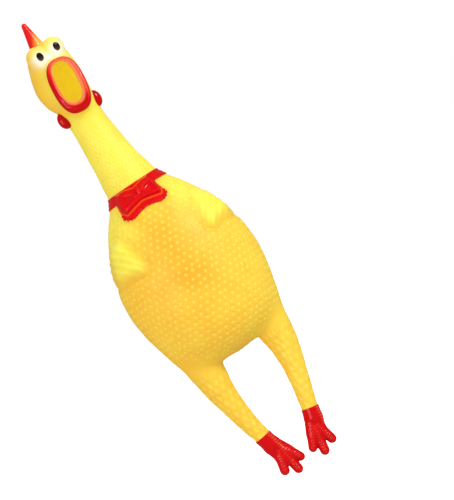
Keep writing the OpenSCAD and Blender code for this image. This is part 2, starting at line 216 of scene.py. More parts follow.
# The folded wings' outline from the front, as distance from the middle plane and height, and from
# the side, as Y and height.
WING = [(24.5, 43.5), (60, 46), (60, 13), (31, 17.5), (25, 15.2), (21.0, 18.5), (20.3, 25), (21.2, 33)]
WING_SIDE = [(-50, 48), (-8, 45), (5, 36), (9.5, 27), (7, 20.5), (-3, 15), (-50, 5)]
WING_SWELL = 2.9                    # how far the wings stand out of the torso
RIDGE_HEIGHT, RIDGE_GAP = 0.26, 4.0
CREASE_DEPTH = 0.65                 # depth of the fold along the wings' edge
COMB = [  # root and tip of each lobe in Y and Z, root radius, tip radius
    ((-0.5, 158.5), (-1.5, 178.1), 5.6, 1.6),
    ((5.5, 158.5), (5.0, 173.5), 4.2, 1.3),
    ((11.0, 155.0), (11.0, 167.8), 3.8, 1.4),
]


def eye_bumps(x, y, z):
    centre = (EYE["x"], EYE["y"], EYE["z"])
    return ellipsoid(np.abs(x - EYE_MIDDLE), y, z, centre, (EYE["r"], EYE["r"], EYE["r"]))


def comb_form(x, y, z):
    d = None
    for (y0, z0), (y1, z1), r0, r1 in COMB:
        lobe = cone(x, y, z, (-0.6, y0, z0), (0, y1, z1), r0, r1)
        d = lobe if d is None else smooth_union(d, lobe, 2.0)
    return d


def wing_outline(x, z):
    """Distance to the front outline of the folded wings, negative on a wing."""
    return polygon(np.abs(x), z, WING)


def wing_edge(x, y, z):
    """Distance to the rounded edge of the wings over front and side, negative on a wing."""
    return smooth_meet(wing_outline(x, z), polygon(y, z, WING_SIDE), 6.0)


def feathered(x, z):
    """Share, 0 to 1, of the wings' upper layer with its ridges; the layer below it is smooth."""
    return smoothstep(-5, 5, z - 15 - 0.9 * (np.abs(x) - 28.5))


def wing_height(x, y, z):
    """How far the wings rise out of the torso, with their slanted feather ridges."""
    u = np.abs(x)
    edge = wing_edge(x, y, z)
    layer = feathered(x, z)
    rise = smoothstep(0.8, -7.5, edge)
    to_side = 0.25 + 0.75 * smoothstep(-4, -19, y)
    swell = rise * to_side * (0.8 + 0.2 * layer)
    crease = -CREASE_DEPTH * np.exp(-((edge - 0.9) / 1.5) ** 2) * smoothstep(24, 18, z - 0.2 * u)
    across = 0.78 * u - 0.63 * z
    wave = RIDGE_HEIGHT * np.cos(across * 2 * math.pi / RIDGE_GAP)
    ridge = wave * smoothstep(42, 34, z) * smoothstep(-0.5, -3, edge)
    return WING_SWELL * swell + ridge * (0.2 + 0.8 * layer) + crease


def tail_form(x, y, z):
    """Small pointed tail, low on the back."""
    return cone(x, y, z, **TAIL)


def leg_lean(z):
    """How far along X the legs stand from their upright places at the height z."""
    return -LEG_LEAN * smoothstep(-58, -104, z)


def leg_form(x, y, z):
    d = np.sqrt((np.abs(x - leg_lean(z)) - curve(LEG, 1, z)) ** 2 + y ** 2) - curve(LEG, 2, z)
    heights = [row[0] for row in LEG]
    return np.maximum(d, np.maximum(z - max(heights), min(heights) - z))


def body_form(x, y, z, grow=0.0):
    return loft(BODY, x - curve(SWAY, 1, z), y, z, grow)


def head_form(x, y, z):
    return smooth_union(body_form(x, y, z), eye_bumps(x, y, z), 4.0)


def mouth_frame(x, z):
    """Distances across and up along the mouth's own tilted axis."""
    across, up = x - MOUTH_X, z - MOUTH["widest"]
    cos_t, sin_t = math.cos(MOUTH_TILT), math.sin(MOUTH_TILT)
    return across * cos_t - up * sin_t, across * sin_t + up * cos_t + MOUTH["widest"]


def mouth_edge(x, z):
    return egg(*mouth_frame(x, z), **MOUTH)


def lip_edge(x, z):
    return egg(*mouth_frame(x, z), **LIP_EDGE)


def skin_form(x, y, z):
    """The whole outside of the casting, with the inside of the head and throat open at the mouth."""
    d = head_form(x, y, z)
    chest = (z > 4) & (z < 56)
    d = d - np.where(chest, wing_height(x, y, z), 0)
    d = smooth_union(d, leg_form(x, y, z), 7.0)
    d = smooth_union(d, tail_form(x, y, z), 4.0)
    muzzle = np.maximum(lip_edge(x, z) + 0.6, np.maximum(y - MUZZLE_BACK, MUZZLE_FRONT - y))
    d = smooth_union(d, muzzle, 5.0)
    d = smooth_union(d, comb_form(x, y, z) + 0.6, 3.5)
    hollow = np.maximum(body_form(x, y, z, -WALL), THROAT_LOW - z)
    d = np.maximum(d, -hollow)
    return np.maximum(d, -np.maximum(mouth_edge(x, z), y - MOUTH_BACK))


# ---------------------------------------------------------------- meshing

class Surface:
    """A surface of quads as arrays, in millimetres, with per-point attributes."""

    def __init__(self, points, faces):
        self.points, self.faces, self.data = points, faces, {}

    def normals(self):
        """Unit normal at each point."""
        p, f = self.points, self.faces
        cross = np.cross(p[f[:, 2]] - p[f[:, 0]], p[f[:, 3]] - p[f[:, 1]])
        out = np.zeros_like(p)
        for k in range(4):
            np.add.at(out, f[:, k], cross)
        return out / np.maximum(np.linalg.norm(out, axis=1), 1e-9)[:, None]

    def paint(self, **values):
        """Sets attributes, each from one number or from one for every point."""
        for key, value in values.items():
            self.data[key] = np.broadcast_to(np.asarray(value, float), len(self.points))

    def relax(self, rounds):
        """Moves each point halfway to the middle of its neighbours."""
        f = self.faces
        edges = np.concatenate([f[:, [0, 1]], f[:, [1, 2]], f[:, [2, 3]], f[:, [3, 0]]])
        count = np.bincount(edges.ravel(), minlength=len(self.points))[:, None]
        for _ in range(rounds):
            total = np.zeros_like(self.points)
            np.add.at(total, edges[:, 0], self.points[edges[:, 1]])
            np.add.at(total, edges[:, 1], self.points[edges[:, 0]])
            self.points = self.points * 0.5 + total / np.maximum(count, 1) * 0.5


def mesh_form(form, low, high, step):
    """Surface of form = 0 inside the box, meshed on a grid of that step."""
    counts = np.ceil((np.array(high) - low) / step).astype(int) + 1
    axes = [np.float32(low[i] + step * np.arange(counts[i])) for i in range(3)]
    x, y, z = axes[0][:, None, None], axes[1][None, :, None], axes[2][None, None, :]
    d = np.clip(np.broadcast_to(form(x, y, z), counts), -4 * step, 4 * step)
    d = np.ascontiguousarray(d, dtype=np.float32)
    grid = openvdb.FloatGrid(4 * step)
    grid.copyFromArray(d)
    points, quads = grid.convertToQuads(0.0)
    surface = Surface(points.astype(float) * step + np.array(low), quads[:, ::-1].astype(np.int64))
    surface.relax(RELAX_ROUNDS)
    return surface


def make_object(name, surface, keep, material, normals):
    """Object of the faces that keep marks, with the whole surface's normals along its cuts."""
    faces = surface.faces[keep]
    used, faces = np.unique(faces, return_inverse=True)
    faces = faces.reshape(-1, 4)
    mesh = bpy.data.meshes.new(name)
    mesh.vertices.add(len(used))
    mesh.vertices.foreach_set("co", (surface.points[used] * MM).astype(np.float32).ravel())
    mesh.loops.add(faces.size)
    mesh.loops.foreach_set("vertex_index", faces.astype(np.int32).ravel())
    mesh.polygons.add(len(faces))
    mesh.polygons.foreach_set("loop_start", np.arange(0, faces.size, 4, dtype=np.int32))
    mesh.update(calc_edges=True)
    mesh.validate()
    mesh.polygons.foreach_set("use_smooth", np.ones(len(mesh.polygons), bool))
    for key, values in surface.data.items():
        attribute = mesh.attributes.new(key, "FLOAT", "POINT")
        attribute.data.foreach_set("value", values[used].astype(np.float32))
    if len(mesh.vertices) == len(used):
        mesh.normals_split_custom_set_from_vertices(normals[used].astype(np.float32))
    mesh.materials.append(material)
    obj = bpy.data.objects.new(name, mesh)
    bpy.context.scene.collection.objects.link(obj)
    return obj


def whole_object(name, surface, material):
    """Object of all the surface's faces."""
    return make_object(name, surface, np.ones(len(surface.faces), bool), material, surface.normals())


def cut_on_plane(surface, inside, coordinate, value):
    """Straightens the cut round the faces that inside marks by moving its points onto the plane."""
    a = np.zeros(len(surface.points), bool)
    b = np.zeros(len(surface.points), bool)
    a[surface.faces[inside].ravel()] = True
    b[surface.faces[~inside].ravel()] = True
    on_cut = a & b & (np.abs(surface.points[:, coordinate] - value) < 1.5)
    surface.points[on_cut, coordinate] = value


# ---------------------------------------------------------------- bumps of the skin

def rings_of_bumps(stations, low, high, row, gap):
    """Centres of raised bumps in staggered rings round a loft, at even distances on its wall."""
    centres = []
    fine = np.linspace(high, low, 600)
    width = curve(stations, 1, fine)
    arc = np.concatenate([[0], np.cumsum(np.hypot(np.diff(width), np.diff(fine)))])
    for i, s in enumerate(np.arange(row / 2, arc[-1], row)):
        z = np.interp(s, arc, fine)
        half, front, back = (float(curve(stations, c, np.array([z]))[0]) for c in (1, 2, 3))
        turn = np.linspace(0, 2 * math.pi, 721)
        depth = np.where(np.cos(turn) > 0, front, back)
        ring = np.stack([half * np.sin(turn), -depth * np.cos(turn)], axis=1)
        run = np.concatenate([[0], np.cumsum(np.linalg.norm(np.diff(ring, axis=0), axis=1))])
        count = max(3, round(run[-1] / gap))
        at = (np.arange(count) + 0.5 * (i % 2)) * run[-1] / count + rng.normal(0, 0.09 * gap, count)
        jitter = rng.normal(0, 0.07 * row, count)
        xs, ys = np.interp(at, run, ring[:, 0]), np.interp(at, run, ring[:, 1])
        xs = xs + float(curve(SWAY, 1, np.array([z]))[0])
        centres += [(a, b, z + j) for a, b, j in zip(xs, ys, jitter)]
    return np.array(centres)


def rings_of_leg_bumps(side, low, high, row, gap):
    """Centres of raised bumps in staggered rings round the leg of that side, -1 or 1."""
    centres = []
    for i, z in enumerate(np.arange(high, low, -row)):
        middle = float(curve(LEG, 1, np.array([z]))[0])
        r = float(curve(LEG, 2, np.array([z]))[0])
        count = max(5, round(2 * math.pi * r / gap))
        turn = (np.arange(count) + 0.5 * (i % 2)) * 2 * math.pi / count + rng.normal(0, 0.08, count)
        jitter = rng.normal(0, 0.05 * row, count)
        lean = float(leg_lean(z))
        centres += [(side * (middle + r * math.sin(t)) + lean, -r * math.cos(t), z + j)
                    for t, j in zip(turn, jitter)]
    return np.array(centres)


def bump_height(points, centres, radius, tall=1.0):
    """Height share, 0 to 1, of round bumps at points; tall stretches them along Z."""
    tree = KDTree(len(centres))
    scale = np.array([1, 1, 1 / tall])
    for i, c in enumerate(centres * scale):
        tree.insert(c, i)
    tree.balance()
    near = np.array([tree.find(p)[2] for p in points * scale])
    return np.clip(1 - (near / radius) ** 2, 0, 1) ** 1.5


# ---------------------------------------------------------------- materials

def set_values(node, **values):
    """Sets a node's own properties, and the inputs named with _ for a space."""
    for key, value in values.items():
        if hasattr(node, key):
            setattr(node, key, value)
        else:
            node.inputs[key.replace("_", " ")].default_value = value


def add(nodes, kind, **values):
    node = nodes.new(kind)
    set_values(node, **values)
    return node


def new_material(name):
    material = bpy.data.materials.new(name)
    material.use_nodes = True
    nodes = material.node_tree.nodes
    return material, nodes, material.node_tree.links, nodes["Principled BSDF"]


def mixed(nodes, links, factor, a, b):
    """Colour mix of a and b, each a colour or a socket, by a factor socket."""
    mix = add(nodes, "ShaderNodeMix", data_type="RGBA")
    links.new(factor, mix.inputs["Factor"])
    for socket, value in ((mix.inputs["A"], a), (mix.inputs["B"], b)):
        if isinstance(value, tuple):
            socket.default_value = (*value, 1)
        else:
            links.new(value, socket)
    return mix.outputs["Result"]


def attribute(nodes, name):
    return add(nodes, "ShaderNodeAttribute", attribute_name=name).outputs["Fac"]


def noise(nodes, links, scale, detail):
    """Noise that is fixed to the object."""
    place = nodes.new("ShaderNodeTexCoord").outputs["Object"]
    texture = add(nodes, "ShaderNodeTexNoise", Scale=scale, Detail=detail)
    links.new(place, texture.inputs["Vector"])
    return texture.outputs["Fac"]


def mottled_swell(nodes, links, mottle, most):
    """The painted light and shade attribute, shifted up or down by the mottle noise by no more than most."""
    cloud = add(nodes, "ShaderNodeMapRange", From_Min=0.35, From_Max=0.65, To_Min=-most, To_Max=most)
    links.new(mottle, cloud.inputs["Value"])
    total = add(nodes, "ShaderNodeMath", operation="ADD", use_clamp=True)
    links.new(attribute(nodes, "swell"), total.inputs[0])
    links.new(cloud.outputs["Result"], total.inputs[1])
    return total.outputs["Value"]


def vary_roughness(nodes, links, shader, by, low, high):
    gloss = add(nodes, "ShaderNodeMapRange", To_Min=low, To_Max=high)
    links.new(by, gloss.inputs["Value"])
    links.new(gloss.outputs["Result"], shader.inputs["Roughness"])


EYE_WHITE = (0.93, 0.9, 0.74)
BLUSH_RED = (0.93, 0.07, 0.015)     # the comb's paint where it was sprayed over the head
# painted glow: emission inside the mouth that stands in for light through the thin casting
FLOOR_GLOW = (0.16, 0.19, 0.012)    # light that comes through the thin casting into the mouth


def vinyl(name, deep, lit_colour, tip):
    """Soft vinyl, faintly mottled, with painted shade and light: the deep colour where its painted light is
    low, the lit colour where it is high, and a painted highlight on the bump tips.
    """
    material, nodes, links, shader = new_material(name)
    mottle = noise(nodes, links, 70.0, 3.0)
    grain = noise(nodes, links, 1600.0, 2.0)
    # painted shade and light: the deep colour where the painted light is low, the lit colour where it is high
    body = mixed(nodes, links, mottled_swell(nodes, links, mottle, 0.07), deep, lit_colour)
    # painted highlight on the tips of the bumps
    colour = mixed(nodes, links, attribute(nodes, "tip"), body, tip)
    colour = mixed(nodes, links, attribute(nodes, "white"), colour, EYE_WHITE)
    colour = mixed(nodes, links, attribute(nodes, "blush"), colour, BLUSH_RED)
    links.new(colour, shader.inputs["Base Color"])
    vary_roughness(nodes, links, shader, mottle, 0.41, 0.53)
    fine = add(nodes, "ShaderNodeBump", Strength=0.12, Distance=0.0001)
    links.new(grain, fine.inputs["Height"])
    links.new(fine.outputs["Normal"], shader.inputs["Normal"])
    # painted glow inside the mouth
    glow = mixed(nodes, links, attribute(nodes, "glow"), (0, 0, 0), FLOOR_GLOW)
    links.new(glow, shader.inputs["Emission Color"])
    set_values(shader, Emission_Strength=1.0, Subsurface_Weight=0.3, Subsurface_Radius=(1.0, 0.6, 0.12),
               Subsurface_Scale=0.003, Specular_IOR_Level=0.35, Coat_Weight=0.08, Coat_Roughness=0.35)
    return material


def painted(name, dark, light, edge, coat=0.3):
    """Glossy paint on vinyl: painted shade and light from the dark to the light colour by its painted light
    attribute, and the edge colour where a second attribute marks real fading of the paint in some places and a
    painted highlight in others.
    """
    material, nodes, links, shader = new_material(name)
    mottle = noise(nodes, links, 220.0, 3.0)
    # painted shade and light: the dark colour where the painted light is low, the light colour where it is
    # high
    body = mixed(nodes, links, mottled_swell(nodes, links, mottle, 0.1), dark, light)
    # the edge colour: real fading of the paint in some places, a painted highlight in others
    colour = mixed(nodes, links, attribute(nodes, "fade"), body, edge)
    links.new(colour, shader.inputs["Base Color"])
    vary_roughness(nodes, links, shader, mottle, 0.17, 0.3)
    set_values(shader, Subsurface_Weight=0.1, Subsurface_Radius=(1.0, 0.15, 0.1), Subsurface_Scale=0.0015,
               Specular_IOR_Level=0.12, Coat_Weight=coat, Coat_Roughness=0.06)
    return material


def plain_plastic(name, colour, roughness):
    """Moulded squeaker plastic with a faint matt grain."""
    material, nodes, links, shader = new_material(name)
    grain = noise(nodes, links, 900.0, 4.0)
    shade = tuple(c * 0.9 for c in colour)
    links.new(mixed(nodes, links, grain, shade, colour), shader.inputs["Base Color"])
    vary_roughness(nodes, links, shader, grain, roughness - 0.08, roughness + 0.08)
    return material


# Each paint's first two colours are its shaded and lit copies, for painted shade and light; the vinyl's third
# is the painted highlight on the tips of its bumps, each other paint's third is its edge colour
SKIN_PAINT = vinyl("yellow_vinyl", (0.95, 0.385, 0.004), (0.98, 0.84, 0.08), (1.0, 0.82, 0.12))
BOW_RED = painted("bow_paint", (0.5, 0.001, 0.002), (0.9, 0.001, 0.004), (0.95, 0.17, 0.015))
RED_PAINT = painted("red_paint", (0.5, 0.001, 0.002), (0.9, 0.002, 0.005), (0.97, 0.3, 0.12))
COMB_PAINT = painted("comb_paint", (0.6, 0.004, 0.004), (0.9, 0.02, 0.012), (0.97, 0.44, 0.05))
PUPIL_PAINT = painted("pupil_paint", (0.006, 0.004, 0.003), (0.016, 0.008, 0.005), (0.12, 0.05, 0.02),
                      coat=0.08)
FOOT_RED = painted("foot_paint", (0.5, 0.001, 0.002), (0.76, 0.001, 0.003), (0.95, 0.16, 0.08))


# ---------------------------------------------------------------- the skin

SKIN_LOW, SKIN_HIGH = [-48, -41, -108.2], [48, 37, 184]      # corners of the box that holds the skin
# Range of heights of each sort of bump, and the gap between two rings and within a ring.
TORSO_BUMPS = dict(low=-56, high=57, row=3.85, gap=4.4)
NECK_BUMPS = dict(low=64.5, high=108, row=2.5, gap=2.9)
LEG_BUMPS = dict(low=-103, high=-50, row=4.6, gap=4.0)
TORSO_BUMP_R, NECK_BUMP_R, LEG_BUMP_R = 1.35, 1.05, 1.6
TORSO_LIFT, NECK_LIFT, LEG_LIFT = 0.5, 0.32, 0.5
# painted highlight on the tips of the bumps, as shares of the tip colour
TORSO_TIP_HIGHLIGHT, NECK_TIP_HIGHLIGHT, LEG_TIP_HIGHLIGHT = 0.62, 0.35, 0.4              # how much paler the tips of the bumps are
LEG_BUMP_TALL = 1.7                                         # height of a leg's bump over its width
SEAM_HALF, SEAM_LIFT = 0.5, 0.14


def raise_bumps(surface, outside):
    """Lifts the bumps and the mould's seam out of the skin's outside, and sets the painted highlight on the
    bumps' tips.
    """
    smooth = surface.points
    normal = surface.normals()
    x, y, z = smooth.T
    torso = bump_height(smooth, rings_of_bumps(BODY, **TORSO_BUMPS), TORSO_BUMP_R)
    neck = bump_height(smooth, rings_of_bumps(BODY, **NECK_BUMPS), NECK_BUMP_R)
    legs = np.concatenate([rings_of_leg_bumps(side, **LEG_BUMPS) for side in (-1, 1)])
    leg = bump_height(smooth, legs, LEG_BUMP_R, LEG_BUMP_TALL)
    on_leg = smoothstep(-50, -58, z)
    on_neck = smoothstep(60, 64, z) * (1 - smoothstep(103, 108, z))
    on_torso = (1 - on_leg) * (1 - smoothstep(54, 58, z)) * smoothstep(1.0, 4.0, tail_form(x, y, z))
    on_wing = smoothstep(0.5, -1.5, wing_edge(x, y, z))
    lift = TORSO_LIFT * torso * on_torso * (1 - on_wing) + NECK_LIFT * neck * on_neck + LEG_LIFT * leg * on_leg
    seam = SEAM_LIFT * np.exp(-(y / SEAM_HALF) ** 2) * smoothstep(112, 104, z) * (1 - on_wing)
    lift = np.maximum(lift, seam) * outside
    surface.points = smooth + normal * lift[:, None]
    # painted highlight on the tips of the bumps
    tips = torso * on_torso * (1 - on_wing) * TORSO_TIP_HIGHLIGHT + neck * on_neck * NECK_TIP_HIGHLIGHT + leg * on_leg * LEG_TIP_HIGHLIGHT
    surface.paint(tip=np.clip(tips * outside, 0, 1))


# White sprayed round the eyes: two soft ovals and a weaker one between them.
EYE_PATCH = dict(middle=1.2, aside=5.6, half=4.3, z=155.0, tall=4.2)
BRIDGE_PATCH = dict(half=5.0, z=154.0, tall=2.6, share=0.75)


def eye_white(x, z):
    """Share of white paint on the face."""
    eye, bridge = EYE_PATCH, BRIDGE_PATCH
    aside = (np.abs(x - eye["middle"]) - eye["aside"]) / eye["half"]
    round_eyes = np.exp(-aside ** 2 - ((z - eye["z"]) / eye["tall"]) ** 2)
    between = bridge["share"] * np.exp(-(x / bridge["half"]) ** 2 - ((z - bridge["z"]) / bridge["tall"]) ** 2)
    return np.clip(np.maximum(round_eyes, between) * 1.4, 0, 1)


def paint_skin(surface, smooth, inside):
    """Sets the skin's painted light and shade, the painted glow inside the mouth, and its white and blush
    paint, from its points' places before the bumps were raised.
    """
    x, y, z = smooth.T
    outside = ~inside
    # painted highlight on the wings' swells, stronger on their upper, ridged layer
    wing_highlight = smoothstep(-0.8, 3.4, wing_height(x, y, z)) * smoothstep(56, 48, z) * smoothstep(4, 10, z)
    wing_highlight = wing_highlight * (0.4 + 0.6 * feathered(x, z))
    # darker over the middle of the chest's front
    chest = np.exp(-(x / 24) ** 2 - ((z - 16) / 32) ** 2) * smoothstep(5, -15, y)
    # painted highlight on the shoulders
    shoulder_highlight = smoothstep(9, 20, np.abs(x)) * smoothstep(30, 46, z)
    # painted light, stronger towards the chicken's left, where the key lamp stands
    lit = 0.12 * smoothstep(-30, 30, x)
    on_head = smoothstep(112, 122, z)
    on_upper = np.maximum(smoothstep(58, 66, z), shoulder_highlight)
    # painted highlight, paler over the neck and shoulders, and on the head rising towards the chicken's left
    pale = 0.42 * on_upper * (1 - on_head) + (0.27 + 0.017 * x) * on_head
    # the skin's painted light and shade, and a painted glow on the inside of the head where it shows through
    # the mouth
    surface.paint(swell=0.4 + pale + 0.6 * wing_highlight - 0.36 * chest + lit, glow=inside & (z > FLOOR_LOW))
    beside_comb = smoothstep(2.8, 0.9, comb_form(x, y, z)) * outside
    surface.paint(
        white=eye_white(x, z) * (y < -6) * outside,
        blush=beside_comb * (0.1 + 0.9 * smoothstep(2.0, -2.5, x)),
    )


def build_skin():
    surface = mesh_form(skin_form, SKIN_LOW, SKIN_HIGH, SKIN_STEP)
    smooth = surface.points
    x, y, z = smooth.T
    inside = (body_form(x, y, z, -WALL * 0.5) < 0) & (z > INSIDE_LOW)
    raise_bumps(surface, ~inside)
    paint_skin(surface, smooth, inside)
    return surface


def build_skin_pieces():
    """Cuts the skin into pieces where it bends and hides the CAD nodes that they replace; the head's piece
    rides on the head.
    """
    surface = build_skin()

    def face_centres():
        return surface.points[surface.faces].mean(axis=1)

    sway, bend, nod = (PIVOT[k][2] for k in ("neck_sway", "neck_bend", "head_nod"))
    hip, swing, ankle = (PIVOT[k][2] for k in ("hip_splay_left", "leg_swing_left", "ankle_flex_left"))
    cuts = {
        "collar": sway - NECK_ZONE,
        "neck": (sway + bend) / 2,
        "throat": (bend + nod) / 2,
        "jaw": nod + NECK_ZONE,
        "hip": hip + HIP_ZONE,
        "knee": (hip - HIP_ZONE + swing + SWING_ZONE) / 2,
        "shank": (swing - SWING_ZONE + ankle + ANKLE_ZONE) / 2,
    }
    for value in cuts.values():
        cut_on_plane(surface, face_centres()[:, 2] > value, 2, value)
    x, y, z = face_centres().T
    trunk = (z < cuts["collar"]) & (z > cuts["hip"])
    wings = trunk & (wing_outline(x, z) < 0) & (y < 9)
    front, left = y < 0, x > 0
    cut_on_plane(surface, front & trunk, 1, 0.0)
    normal = surface.normals()

    def piece(name, keep, *nodes):
        obj = make_object(name, surface, keep, SKIN_PAINT, normal)
        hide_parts(*nodes)
        return obj

    belly = piece("skin_front", trunk & front & ~wings, "torso_skin", "belly_skin")
    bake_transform(belly)
    back = piece("skin_back", trunk & ~front & ~wings, "back_skin", "tail_nub")
    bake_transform(back)
    neck_low = piece("skin_neck_low", (z > cuts["collar"]) & (z < cuts["neck"]), "neck_lower_skin")
    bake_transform(neck_low)
    neck_high = piece("skin_neck_high", (z > cuts["neck"]) & (z < cuts["throat"]), "neck_upper_skin")
    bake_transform(neck_high)
    throat = piece("skin_throat", (z > cuts["throat"]) & (z < cuts["jaw"]))
    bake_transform(throat)
    head = piece("skin_head", z > cuts["jaw"], "head_skin", "eye_left", "eye_right")
    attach(head, "head")
    for side, mine in (("left", left), ("right", ~left)):
        wing = piece(f"wing_{side}", mine & wings, f"wing_{side}")
        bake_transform(wing)
        thigh = piece(f"skin_hip_{side}", mine & (z < cuts["hip"]) & (z > cuts["knee"]), f"thigh_{side}")
        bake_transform(thigh)
        knee = piece(f"skin_leg_{side}", mine & (z < cuts["knee"]) & (z > cuts["shank"]), f"shank_{side}")
        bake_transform(knee)
        shin = piece(f"skin_shin_{side}", mine & (z < cuts["shank"]))
        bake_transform(shin)


# ---------------------------------------------------------------- painted pieces of the head

def single(name, surface, material, body, node):
    """Object of the whole surface that rides on a body and stands for a CAD node."""
    obj = whole_object(name, surface, material)
    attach(obj, body)
    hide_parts(node)


LIP_FRONT = -22.0               # front of the upper lip
LIP_POUT = 2.5                  # the lower lip stands this much further forward
LIP_CREST, LIP_ROOT = 3.0, 6.0  # depth of the lip before and behind its thickest place
LIP_GROOVE = 0.7                # depth of the groove along the lower lip


def lower_lip(x, z):
    """Share, 0 to 1, of the lower lip, which is folded double."""
    return smoothstep(129, 123, z + 0.25 * x)


def build_lips():
    def form(x, y, z):
        inner, outer = mouth_edge(x, z), lip_edge(x, z)
        half = np.maximum((inner - outer) / 2, 0.3)
        across = (inner + outer) / 2 / half
        front = LIP_FRONT - LIP_POUT * smoothstep(146, 122, z)
        behind_crest = y - front - LIP_CREST
        deep = np.where(y < front + LIP_CREST, behind_crest / LIP_CREST, behind_crest / LIP_ROOT)
        d = (np.sqrt(across ** 2 + deep ** 2) - 1) * np.minimum(half, LIP_CREST)
        groove = LIP_GROOVE * lower_lip(x, z) * np.exp(-((across + 0.1) / 0.2) ** 2)
        return d + groove * smoothstep(front + 4, front + 2, y)

    surface = mesh_form(form, [-13, -27, 115], [13, -12, 154], DETAIL_STEP)
    x, y, z = surface.points.T
    inner, outer = mouth_edge(x, z), lip_edge(x, z)
    across = inner / np.maximum(inner - outer, 0.5)
    # painted light from the chicken's upper left, where the key lamp stands
    lit = smoothstep(-5, 8, x + 0.55 * (z - 138))
    # painted shade in the groove of the folded lower lip
    fold = lower_lip(x, z) * np.exp(-((across - 0.5) / 0.09) ** 2)
    # painted highlights along the inner edge and on the lit side of the outer edge
    inner_rim_highlight = smoothstep(0.42, 0.1, across) * (0.8 + 0.2 * lit)
    outer_rim_highlight = (0.35 * lit + 0.3 * smoothstep(130, 124, z) * lit) * smoothstep(0.95, 0.6, across)
    # painted light and shade: lighter on the lit side, darker towards the outer edge and in the groove of the
    # lower lip
    surface.paint(
        swell=0.3 + 0.5 * lit - 0.3 * smoothstep(0.7, 0.95, across) - 0.6 * fold,
        fade=np.clip(inner_rim_highlight + outer_rim_highlight, 0, 1) * (1 - fold),
    )
    single("lips", surface, RED_PAINT, "head", "lip_ring")


def build_comb():
    def form(x, y, z):
        return np.maximum(comb_form(x, y, z), 158 - z)

    surface = mesh_form(form, [-7, -8, 157], [7, 17, 181], DETAIL_STEP)
    x, _, z = surface.points.T
    # orange towards the root, where the red thins onto the yellow, and a painted highlight towards the
    # chicken's left side
    surface.paint(swell=0.45, fade=smoothstep(172, 161.5, z - 1.7 * x))
    single("comb", surface, COMB_PAINT, "head", "comb")


PUPIL = dict(middle=2.0, aside=5.8, z=156.4, half=1.95, tall=2.65)
PUPIL_THICKNESS = 0.35      # to either side of the skin


def build_pupils():
    for side, k in (("left", 1), ("right", -1)):
        middle = PUPIL["middle"] + k * PUPIL["aside"]

        def form(x, y, z):
            coat = np.abs(head_form(x, y, z)) - PUPIL_THICKNESS
            across, up = (x - middle) / PUPIL["half"], (z - PUPIL["z"]) / PUPIL["tall"]
            oval = np.sqrt(across ** 2 + up ** 2) - 1
            return np.maximum(coat, np.maximum(oval * PUPIL["half"], y + 9))

        surface = mesh_form(form, [middle - 3.2, -19, 153], [middle + 3.2, -10, 161], PUPIL_STEP)
        x, _, z = surface.points.T
        # browner towards the bottom of each pupil
        surface.paint(swell=0.5, fade=smoothstep(157.0, 153.9, z + 0.3 * (x - middle)) * 0.8)
        single(f"pupil_{side}", surface, PUPIL_PAINT, "head", f"pupil_{side}")


WATTLE = dict(middle=-0.4, aside=11.2, y=-4.5, z=118.6, radii=(3.9, 2.6, 5.4))
WATTLE_SLANT = 0.5      # the left wattle hangs this much higher than z, the right one lower


def build_wattles():
    for side, k in (("left", 1), ("right", -1)):
        def form(x, y, z):
            centre = (k * WATTLE["aside"] + WATTLE["middle"], WATTLE["y"], WATTLE["z"] + WATTLE_SLANT * k)
            return ellipsoid(x, y, z, centre, WATTLE["radii"])

        surface = mesh_form(form, [k * 11.5 - 6, -11, 111], [k * 11.5 + 6, 0, 126], DETAIL_STEP)
        # painted shade: the wattles take nearly the shaded red all over
        surface.paint(swell=0.05, fade=0)
        single(f"wattle_{side}", surface, RED_PAINT, "head", f"wattle_{side}")


# ---------------------------------------------------------------- collar and bow

COLLAR_LOW, COLLAR_HIGH = 59.0, 64.8
COLLAR_THICK = 0.65
COLLAR_NOTCHES, NOTCH_DEPTH = 70, 0.3      # small notches round the collar's lower edge
RIB_HEIGHT = 0.12
KNOT_X = -0.4
KNOT = dict(centre=(0, -21.2, 58.2), radii=(2.1, 3.1, 4.6))
BOW_X = -1.7
LOBE_PUFF = 2.7                            # how far the bow's lobes swell out of the skin
# Outlines of half the bow as distance from its middle and height: the frilled hem, the puffed lobe
# and the fold on the lobe.
BOW_HEM = [(-13.6, 60), (-12.9, 55), (-14.8, 50), (-12.6, 47.6), (-9.2, 47.2), (-4.5, 48.8), (0, 49.4),
           (4.5, 48.8), (9.2, 47.2), (12.6, 47.6), (14.8, 50), (12.9, 55), (13.6, 60)]
HEM_BEADS = slice(6, 12)            # corners of the hem that the beads run along
BEAD_GAP, BEAD_R = 2.0, 0.95
BOW_LOBE = [(-2, 62.8), (-2, 53.6), (1, 53.5), (6.5, 52.3), (11.6, 50.9), (13.9, 54.6), (12.9, 59),
            (11.4, 64.6), (6, 64.6)]
BOW_FOLD = [(2.7, 55.6), (3.0, 59.0), (10.0, 62.0), (11.8, 53.2)]


def beads(x, y, z, path):
    """Row of beads on the torso's skin along a path of (distance across, height) points."""
    points = np.array(path, float)
    run = np.concatenate([[0], np.cumsum(np.linalg.norm(np.diff(points, axis=0), axis=1))])
    at = np.linspace(0, run[-1], round(run[-1] / BEAD_GAP) + 1)
    d = np.full(np.broadcast(x, y, z).shape, 1e9)
    for bx, bz in zip(np.interp(at, run, points[:, 0]), np.interp(at, run, points[:, 1])):
        half, front = (float(curve(BODY, c, np.array([bz]))[0]) for c in (1, 2))
        sway = float(curve(SWAY, 1, np.array([bz]))[0])
        by = -front * math.sqrt(max(1 - ((bx - sway) / half) ** 2, 0)) - 0.7
        d = np.minimum(d, np.sqrt((x - bx) ** 2 + (y - by) ** 2 + (z - bz) ** 2) - BEAD_R)
    return d


